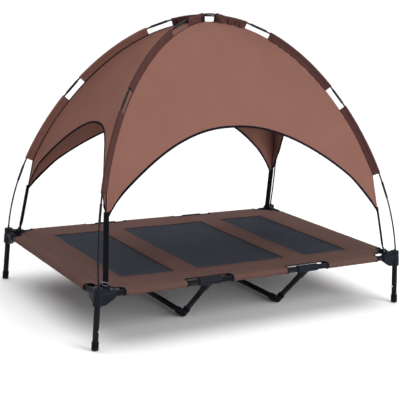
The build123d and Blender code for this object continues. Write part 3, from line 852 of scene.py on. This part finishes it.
def fin(corner, near, far, ruffle):
    """A sleeve's surface between two distances from the crossing.

    The profile, a flat double fin with a round tunnel at its outer edge, is carried along the
    pole. It waves sideways by ruffle * sin, most in the middle of the fin.
    """
    sx, sy = corners[corner]
    lift = 0.003 if sx == sy else -0.003
    distance = np.linspace(near, far, int((far - near) / 0.0035))
    phi = np.interp(distance, from_crossing[::-1], angles[::-1])
    out = outward(phi, sx, sy)
    base = half_pole(phi, sx, sy, lift)
    along = unit(np.gradient(base, axis=0))
    side = np.cross(along, out)
    waves = np.sin(distance * 310 + 3 * np.sin(distance * 71)) + 0.6 * np.sin(distance * 173 + sx)
    slack = np.sin(np.clip((fin_profile[:, 0] + 0.0243) / 0.020, 0, 1) * pi)
    swell = 1 + 0.07 * np.sin(distance * 260 + sy)[:, None] * (np.abs(fin_profile[:, 1]) > 0.002)[None]
    sideways = fin_profile[None, :, 1] * swell + ruffle * waves[:, None] * slack[None]
    return base[:, None] + fin_profile[None, :, 0, None] * out[:, None] + sideways[..., None] * side[:, None]


# The sleeves' cloth is the canopy's brown painted darker, as painted shade on the fins; the middle and low
# stretches at the back_left corner keep the canopy's own colour, where the light falls on them.
fin_cloth_painted_shade = coated_polyester("sleeve_cloth", (0.052, 0.022, 0.021, 1), (0.096, 0.045, 0.041, 1))
for corner in corners:
    sx, sy = corners[corner]
    for part, ruffle in (("top", 0.0042), ("middle", 0.0008), ("low", 0.0007)):
        near, far = fin_stretches[part]
        near = 0.022 if part == "top" and sx != sy else near
        stretch = surface(f"pole_sleeve_{corner}_{part}", fin(corner, near, far, ruffle))
        thicken(stretch, 0.0006)
        # Painted shade: every stretch except those lower ones at back_left takes the darker cloth.
        own_or_painted_shade_cloth = canopy_cloth if corner == "back_left" and part != "top" else fin_cloth_painted_shade
        dress(stretch, own_or_painted_shade_cloth, "canopy", ["pole_sleeve_" + corner])
        if part == "top":
            first, second = fin(corner, near, near + 0.008, 0.0)[:2]
            line = even(first[:10] + (first - second)[:10] * 0.3, 0.001)
            facing = np.tile(unit(np.cross((second - first)[5], first[9] - first[0])), (len(line), 1))
            tape("sleeve_hem_" + corner, line, facing, 0.007, 0.0024, binding, "canopy", "webbing")
        far - near

# ---------------------------------------------------------------------------------------------
# Straps and buckles. Black ribbed webbing, 20 mm wide, is sewn to each corner of the canopy and
# runs down behind a two-bar steel buckle, which hangs on the bracket's tongue.

webbing = ribbed_tape("ribbed_webbing", 0.0018)
strap_width = 0.020


def strap(corner, twist_foot, twist_top):
    """A flat band from the canopy's corner to behind the buckle's bars.

    It runs straight. Its width is turned about its length by a twist, in degrees, that changes
    smoothly over its lowest fifth, and its two edges are rounded.
    """
    sx, sy = corners[corner]
    tip_angle = float(angle_of_seam(tip_heights[corner]))
    tip, foot = seam(tip_angle, sx, sy), strap_foot(sx, sy)
    sewn = seam(float(angle_of_seam(tip_heights[corner] + 0.022)), sx, sy)
    run = unit(tip - foot)
    line = even([foot - run * 0.004, foot, tip, sewn], 0.003)
    share = np.clip(np.linspace(0, 1, len(line)) / 0.2, 0, 1)
    across = np.array([-sy * diagonal[1], sx * diagonal[0], 0.0])
    depth = np.cross(run, across)
    share = share * share * (3 - 2 * share)
    twist = radians(twist_foot) + share * (radians(twist_top) - radians(twist_foot))
    width = np.cos(twist)[:, None] * across + np.sin(twist)[:, None] * depth
    facing = np.cross(run, width)
    name, node = "strap_" + corner, "corner_strap_" + corner
    piece = tape(name, line, facing, strap_width, strap_thickness, webbing, "canopy", "webbing", [node])


strap("front_left", 0.0, 0.0)
strap("back_right", 0.0, 0.0)
strap("front_right", 0.0, 17.4)
strap("back_left", 0.0, -25.4)
buckle_steel = plated_steel("buckle_steel", (0.16, 0.16, 0.17, 1), (0.30, 0.30, 0.31, 1))
dress(nodes["strap_buckles"], buckle_steel)

# ---------------------------------------------------------------------------------------------
# Floor and light. A plain pale floor that runs out of sight, one square lamp, a wide soft light
# from overhead, and a sky that is white near the horizon and dim above.


def pale_floor():
    paint = Finish("pale_floor", Roughness=0.9, Specular_IOR_Level=0.1)
    patches = paint.noise(paint.place(), 2.0)
    return paint.wear(paint.colour(patches, (0.90, 0.90, 0.90, 1), (0.92, 0.92, 0.92, 1)))


spread = np.linspace(-900, 900, 3)
floor_x, floor_y = np.meshgrid(spread, spread, indexing="ij")
floor = surface("floor", np.stack([floor_x, floor_y, 0 * floor_x - 0.0002], axis=-1))
floor.data.flip_normals()
floor.data.materials.append(pale_floor())


def lamp(name, place, aim, size, power):
    """A square soft lamp at a place, turned to its aim."""
    light = bpy.data.objects.new(name, bpy.data.lights.new(name, "AREA"))
    light.data.shape, light.data.size, light.data.energy = "SQUARE", size, power
    away = unit(np.array(place, float) - np.array(aim, float))
    right = unit(np.cross([0.0, 0.0, 1.0], away) + [1e-9, 0, 0])
    turn = np.eye(4)
    turn[:3, :3] = np.stack([right, np.cross(away, right), away], axis=1)
    turn[:3, 3] = place
    light.matrix_world = Matrix(turn.tolist())
    bpy.context.scene.collection.objects.link(light)


lamp("key_lamp", (1.7, -3.5, 2.2), (0, 0, 0.4), 2.4, 120)
overhead = bpy.data.objects.new("overhead_lamp", bpy.data.lights.new("overhead_lamp", "SUN"))
overhead.data.energy, overhead.data.angle = 3.0, radians(80)
overhead.matrix_world = Matrix.Rotation(radians(-14), 4, "X")
bpy.context.scene.collection.objects.link(overhead)
sky = bpy.data.worlds.new("studio")
sky.use_nodes = True
sky_nodes, sky_links = sky.node_tree.nodes, sky.node_tree.links
backdrop = sky_nodes["Background"]
backdrop.inputs["Color"].default_value = (1.0, 1.0, 1.0, 1)
sky_kinds = ("TexCoord", "SeparateXYZ", "MapRange")
direction, split_up, fade = (sky_nodes.new("ShaderNode" + kind) for kind in sky_kinds)
for socket, value in (("From Min", 0.20), ("From Max", 0.40), ("To Min", 1.0), ("To Max", 0.15)):
    fade.inputs[socket].default_value = value
sky_links.new(direction.outputs["Object"], split_up.inputs["Vector"])
sky_links.new(split_up.outputs["Z"], fade.inputs["Value"])
sky_links.new(fade.outputs["Result"], backdrop.inputs["Strength"])
bpy.context.scene.world = sky
bpy.context.scene.view_settings.view_transform = "Standard"
